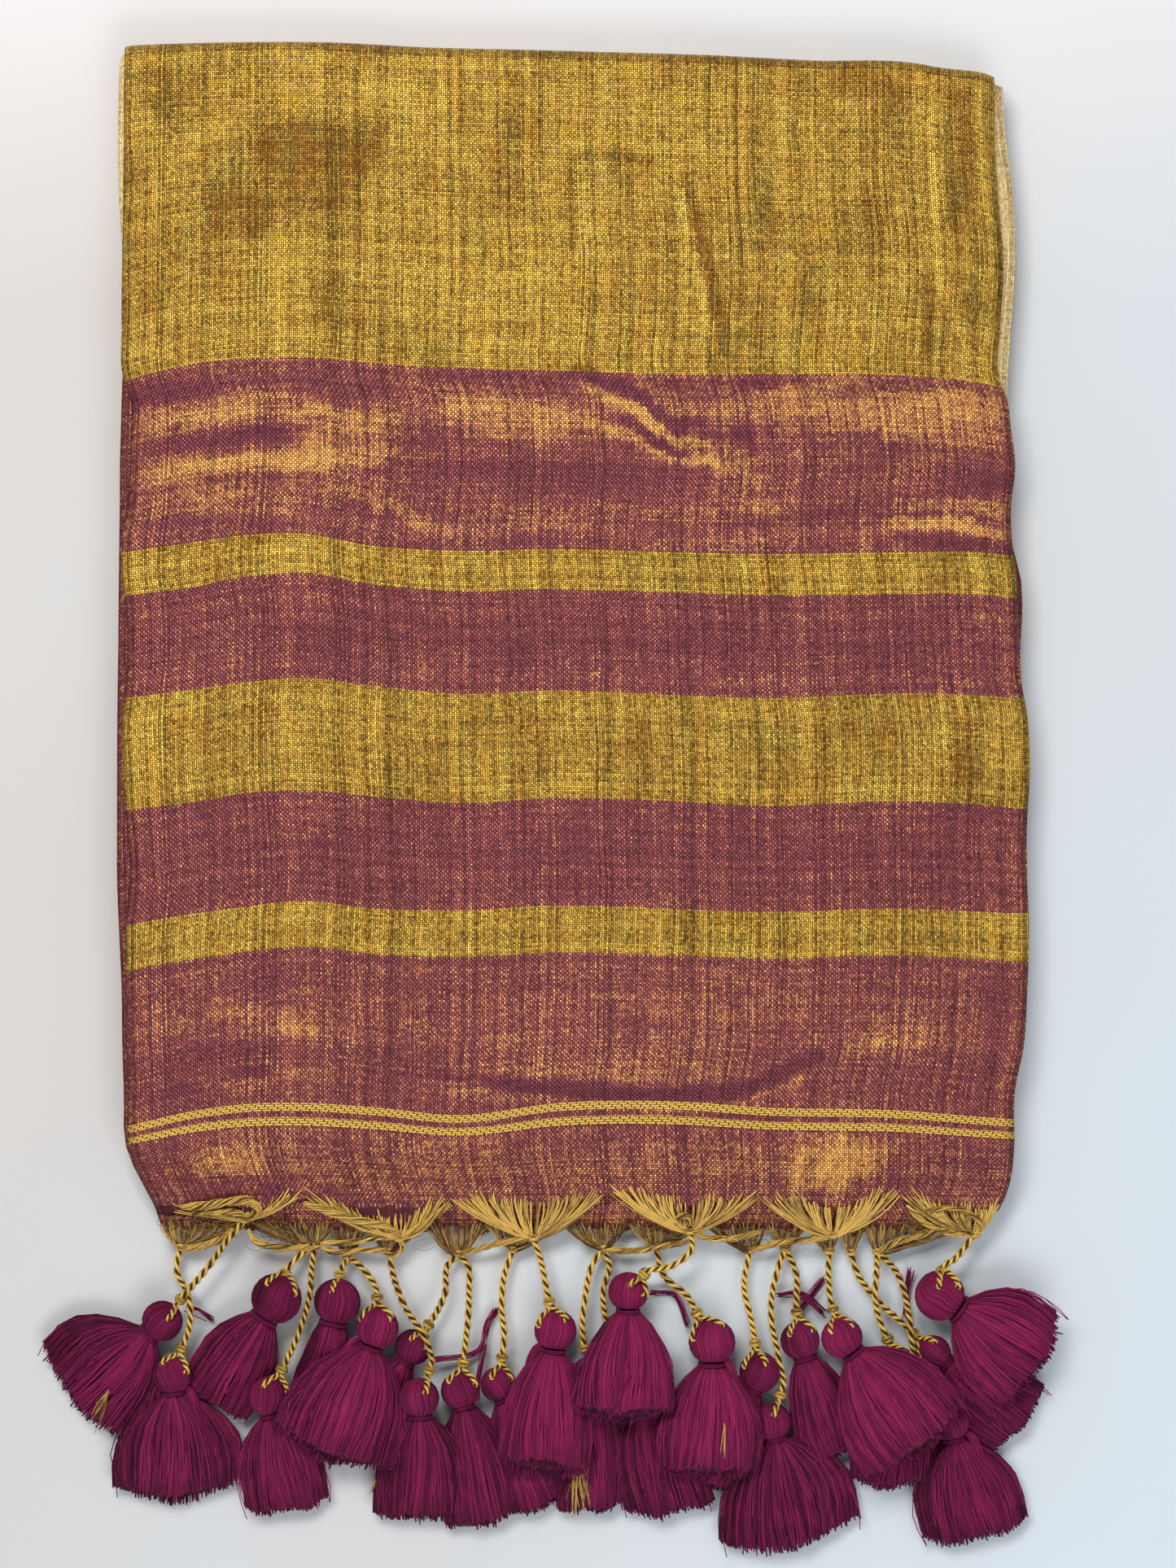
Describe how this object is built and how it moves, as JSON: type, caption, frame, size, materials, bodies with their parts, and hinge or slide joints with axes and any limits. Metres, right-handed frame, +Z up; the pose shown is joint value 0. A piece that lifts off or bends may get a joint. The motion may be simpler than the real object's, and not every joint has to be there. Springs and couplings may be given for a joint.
{
  "type": "folded khadi saree",
  "caption": "Khadi saree folded into a flat packet, pallu on top with woven gold and wine bands, a knotted gold fringe and wine cotton tassels on twisted cords.",
  "frame": {"origin": "bottom centre of the whole object's box, on the surface it lies on", "axes": "+X across the packet, +Y from the tassels to the far fold, +Z up from the surface"},
  "size_m": [0.3267, 0.4856, 0.0198],
  "materials": {
    "gold_and_wine_cloth": "shot tissue weave with gold and wine bands, soft metallic sheen",
    "wine_cloth": "shot wine cotton over gold warp, soft sheen",
    "pale_selvedge": "sheer pale selvedge gauze",
    "folded_cloth": "stacked folded edges of gold and wine cloth",
    "gold_thread": "knotted and twisted gold thread",
    "wine_cotton": "matte cotton tassel yarn"
  },
  "bodies": {
    "root": {"pallu_face": "gold_and_wine_cloth", "under_pallu": "wine_cloth", "selvedge_layer": "pale_selvedge", "folded_layers": "folded_cloth", "fringe_front": "gold_thread", "fringe_back": "gold_thread", "tassel_01": "wine_cotton", "tassel_02": "wine_cotton", "tassel_03": "wine_cotton", "tassel_04": "wine_cotton", "tassel_05": "wine_cotton", "tassel_06": "wine_cotton", "tassel_07": "wine_cotton", "tassel_08": "wine_cotton", "tassel_09": "wine_cotton", "tassel_10": "wine_cotton", "tassel_11": "wine_cotton", "tassel_12": "wine_cotton", "tassel_13": "wine_cotton", "tassel_14": "wine_cotton", "tassel_15": "wine_cotton", "tassel_16": "wine_cotton", "tassel_17": "wine_cotton", "tassel_18": "wine_cotton", "tassel_19": "wine_cotton", "tassel_20": "wine_cotton", "tassel_21": "wine_cotton", "tassel_22": "wine_cotton", "tassel_23": "wine_cotton"}
  },
  "joints": []
}
